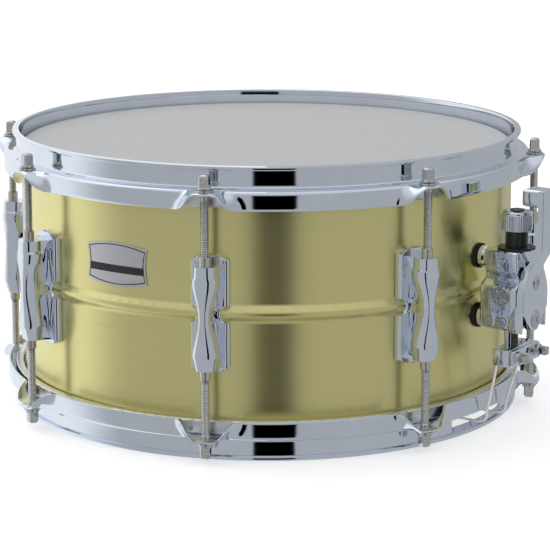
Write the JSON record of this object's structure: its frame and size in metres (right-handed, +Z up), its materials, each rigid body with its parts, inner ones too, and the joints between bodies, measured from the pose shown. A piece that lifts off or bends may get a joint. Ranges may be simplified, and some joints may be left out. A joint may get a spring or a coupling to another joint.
{
  "type": "snare drum",
  "caption": "Brass-shelled snare drum with chromed hoops and lugs, coated batter head, throw-off strainer with tension knob, butt plate and coiled snare wires.",
  "frame": {"origin": "on the drum's axis, at the plane of the snare-side rim that it rests on", "axes": "+Z up along the drum's axis, towards the batter head; +X towards the throw-off strainer; the badge faces -Y"},
  "size_m": [0.4074, 0.3534, 0.184],
  "materials": {
    "brass_shell": "fine circumferential brushing, satin lacquer",
    "badge_plate": "brushed plate with black printed border",
    "plated_brass": "plain turned brass",
    "coated_film": "sprayed coating, slightly rough white",
    "clear_film": "thin hazy clear film",
    "flesh_hoop_aluminium": "satin channel",
    "chrome_hoop": "polished chrome on pressed steel",
    "chrome_casting": "polished chrome on die casting",
    "knob_chrome": "knurled rim, polished ends",
    "rod_steel": "bright plated steel, rolled thread",
    "nickel_nut": "nickel plated sleeve",
    "inner_steel": "zinc plated",
    "dark_steel": "dark oiled screw",
    "medallion_steel": null,
    "black_rubber": "matt gasket",
    "black_plastic": "moulded collar",
    "white_cord": "braided cord",
    "snare_steel": "coiled steel wire"
  },
  "bodies": {
    "shell_and_hoops": {"shell": "brass_shell", "badge": "badge_plate", "vent_grommet": "plated_brass", "batter_head": "coated_film", "snare_side_head": "clear_film", "batter_flesh_hoop": "flesh_hoop_aluminium", "snare_side_flesh_hoop": "flesh_hoop_aluminium", "batter_hoop": "chrome_hoop", "snare_side_hoop": "chrome_hoop", "lug_1": "chrome_casting", "lug_2": "chrome_casting", "lug_3": "chrome_casting", "lug_4": "chrome_casting", "lug_5": "chrome_casting", "lug_6": "chrome_casting", "lug_7": "chrome_casting", "lug_8": "chrome_casting", "lug_nuts": "nickel_nut", "lug_screws": "inner_steel", "rod_washers": "rod_steel", "strainer_body": "chrome_casting", "strainer_gaskets": "black_rubber", "strainer_mount_screws": "inner_steel", "strainer_medallion": "medallion_steel", "strainer_face_screws": "rod_steel", "knob_collar": "black_plastic", "lever_pin": "rod_steel", "butt_body": "chrome_casting", "butt_gaskets": "black_rubber", "butt_mount_screws": "inner_steel", "butt_clamp_plate": "chrome_casting", "butt_clamp_screws": "rod_steel", "strainer_cords": "white_cord", "butt_cords": "white_cord"},
    "lever": {"strainer_lever": "chrome_casting", "lever_screws": "rod_steel"},
    "carriage": {"strainer_carriage": "plated_brass"},
    "knob": {"tension_knob": "knob_chrome", "adjust_screw": "dark_steel"},
    "clamp": {"clamp_block": "chrome_casting", "clamp_plate": "chrome_casting", "clamp_screws": "rod_steel"},
    "snares": {"snare_wires": "snare_steel", "snare_end_plates": "plated_brass"},
    "batter_rod_1": {"batter_rod_1": "rod_steel"},
    "snare_side_rod_1": {"snare_side_rod_1": "rod_steel"},
    "batter_rod_2": {"batter_rod_2": "rod_steel"},
    "snare_side_rod_2": {"snare_side_rod_2": "rod_steel"},
    "batter_rod_3": {"batter_rod_3": "rod_steel"},
    "snare_side_rod_3": {"snare_side_rod_3": "rod_steel"},
    "batter_rod_4": {"batter_rod_4": "rod_steel"},
    "snare_side_rod_4": {"snare_side_rod_4": "rod_steel"},
    "batter_rod_5": {"batter_rod_5": "rod_steel"},
    "snare_side_rod_5": {"snare_side_rod_5": "rod_steel"},
    "batter_rod_6": {"batter_rod_6": "rod_steel"},
    "snare_side_rod_6": {"snare_side_rod_6": "rod_steel"},
    "batter_rod_7": {"batter_rod_7": "rod_steel"},
    "snare_side_rod_7": {"snare_side_rod_7": "rod_steel"},
    "batter_rod_8": {"batter_rod_8": "rod_steel"},
    "snare_side_rod_8": {"snare_side_rod_8": "rod_steel"}
  },
  "joints": [
    {"name": "lever_swing", "type": "hinge", "parent": "shell_and_hoops", "child": "lever", "pos_m": [0.1989, 0, 0.0735], "axis": [0, 1, 0], "range_deg": [0, 75]},
    {"name": "carriage_drop", "type": "slide", "parent": "shell_and_hoops", "child": "carriage", "axis": [0, 0, -1], "range_m": [0, 0.008], "deforming": ["strainer_cords"]},
    {"name": "knob_turn", "type": "hinge", "parent": "carriage", "child": "knob", "pos_m": [0.1919, 0, 0.139], "axis": [0, 0, 1], "range_deg": [-1080, 1080]},
    {"name": "clamp_adjust", "type": "slide", "parent": "carriage", "child": "clamp", "axis": [0, 0, 1], "range_m": [-0.003, 0.003]},
    {"name": "snare_drop", "type": "slide", "parent": "shell_and_hoops", "child": "snares", "axis": [0, 0, -1], "range_m": [0, 0.0025], "deforming": ["butt_cords"]},
    {"name": "batter_rod_1_turn", "type": "hinge", "parent": "shell_and_hoops", "child": "batter_rod_1", "pos_m": [0.16695, 0.06915, 0.16], "axis": [0, 0, 1], "range_deg": [-360, 360]},
    {"name": "batter_rod_2_turn", "type": "hinge", "parent": "shell_and_hoops", "child": "batter_rod_2", "pos_m": [0.06915, 0.16695, 0.16], "axis": [0, 0, 1], "range_deg": [-360, 360]},
    {"name": "batter_rod_3_turn", "type": "hinge", "parent": "shell_and_hoops", "child": "batter_rod_3", "pos_m": [-0.06915, 0.16695, 0.16], "axis": [0, 0, 1], "range_deg": [-360, 360]},
    {"name": "batter_rod_4_turn", "type": "hinge", "parent": "shell_and_hoops", "child": "batter_rod_4", "pos_m": [-0.16695, 0.06915, 0.16], "axis": [0, 0, 1], "range_deg": [-360, 360]},
    {"name": "batter_rod_5_turn", "type": "hinge", "parent": "shell_and_hoops", "child": "batter_rod_5", "pos_m": [-0.16695, -0.06915, 0.16], "axis": [0, 0, 1], "range_deg": [-360, 360]},
    {"name": "batter_rod_6_turn", "type": "hinge", "parent": "shell_and_hoops", "child": "batter_rod_6", "pos_m": [-0.06915, -0.16695, 0.16], "axis": [0, 0, 1], "range_deg": [-360, 360]},
    {"name": "batter_rod_7_turn", "type": "hinge", "parent": "shell_and_hoops", "child": "batter_rod_7", "pos_m": [0.06915, -0.16695, 0.16], "axis": [0, 0, 1], "range_deg": [-360, 360]},
    {"name": "batter_rod_8_turn", "type": "hinge", "parent": "shell_and_hoops", "child": "batter_rod_8", "pos_m": [0.16695, -0.06915, 0.16], "axis": [0, 0, 1], "range_deg": [-360, 360]},
    {"name": "snare_side_rod_1_turn", "type": "hinge", "parent": "shell_and_hoops", "child": "snare_side_rod_1", "pos_m": [0.16695, 0.06915, 0.024], "axis": [0, 0, 1], "range_deg": [-360, 360]},
    {"name": "snare_side_rod_2_turn", "type": "hinge", "parent": "shell_and_hoops", "child": "snare_side_rod_2", "pos_m": [0.06915, 0.16695, 0.024], "axis": [0, 0, 1], "range_deg": [-360, 360]},
    {"name": "snare_side_rod_3_turn", "type": "hinge", "parent": "shell_and_hoops", "child": "snare_side_rod_3", "pos_m": [-0.06915, 0.16695, 0.024], "axis": [0, 0, 1], "range_deg": [-360, 360]},
    {"name": "snare_side_rod_4_turn", "type": "hinge", "parent": "shell_and_hoops", "child": "snare_side_rod_4", "pos_m": [-0.16695, 0.06915, 0.024], "axis": [0, 0, 1], "range_deg": [-360, 360]},
    {"name": "snare_side_rod_5_turn", "type": "hinge", "parent": "shell_and_hoops", "child": "snare_side_rod_5", "pos_m": [-0.16695, -0.06915, 0.024], "axis": [0, 0, 1], "range_deg": [-360, 360]},
    {"name": "snare_side_rod_6_turn", "type": "hinge", "parent": "shell_and_hoops", "child": "snare_side_rod_6", "pos_m": [-0.06915, -0.16695, 0.024], "axis": [0, 0, 1], "range_deg": [-360, 360]},
    {"name": "snare_side_rod_7_turn", "type": "hinge", "parent": "shell_and_hoops", "child": "snare_side_rod_7", "pos_m": [0.06915, -0.16695, 0.024], "axis": [0, 0, 1], "range_deg": [-360, 360]},
    {"name": "snare_side_rod_8_turn", "type": "hinge", "parent": "shell_and_hoops", "child": "snare_side_rod_8", "pos_m": [0.16695, -0.06915, 0.024], "axis": [0, 0, 1], "range_deg": [-360, 360]}
  ],
  "couplings": [
    {"joint": "carriage_drop", "follows": "lever_swing", "m_per_rad": 0.0061116},
    {"joint": "snare_drop", "follows": "lever_swing", "m_per_rad": 0.0019099},
    {"joint": "knob_turn", "follows": "clamp_adjust", "rad_per_m": 6283.1}
  ]
}
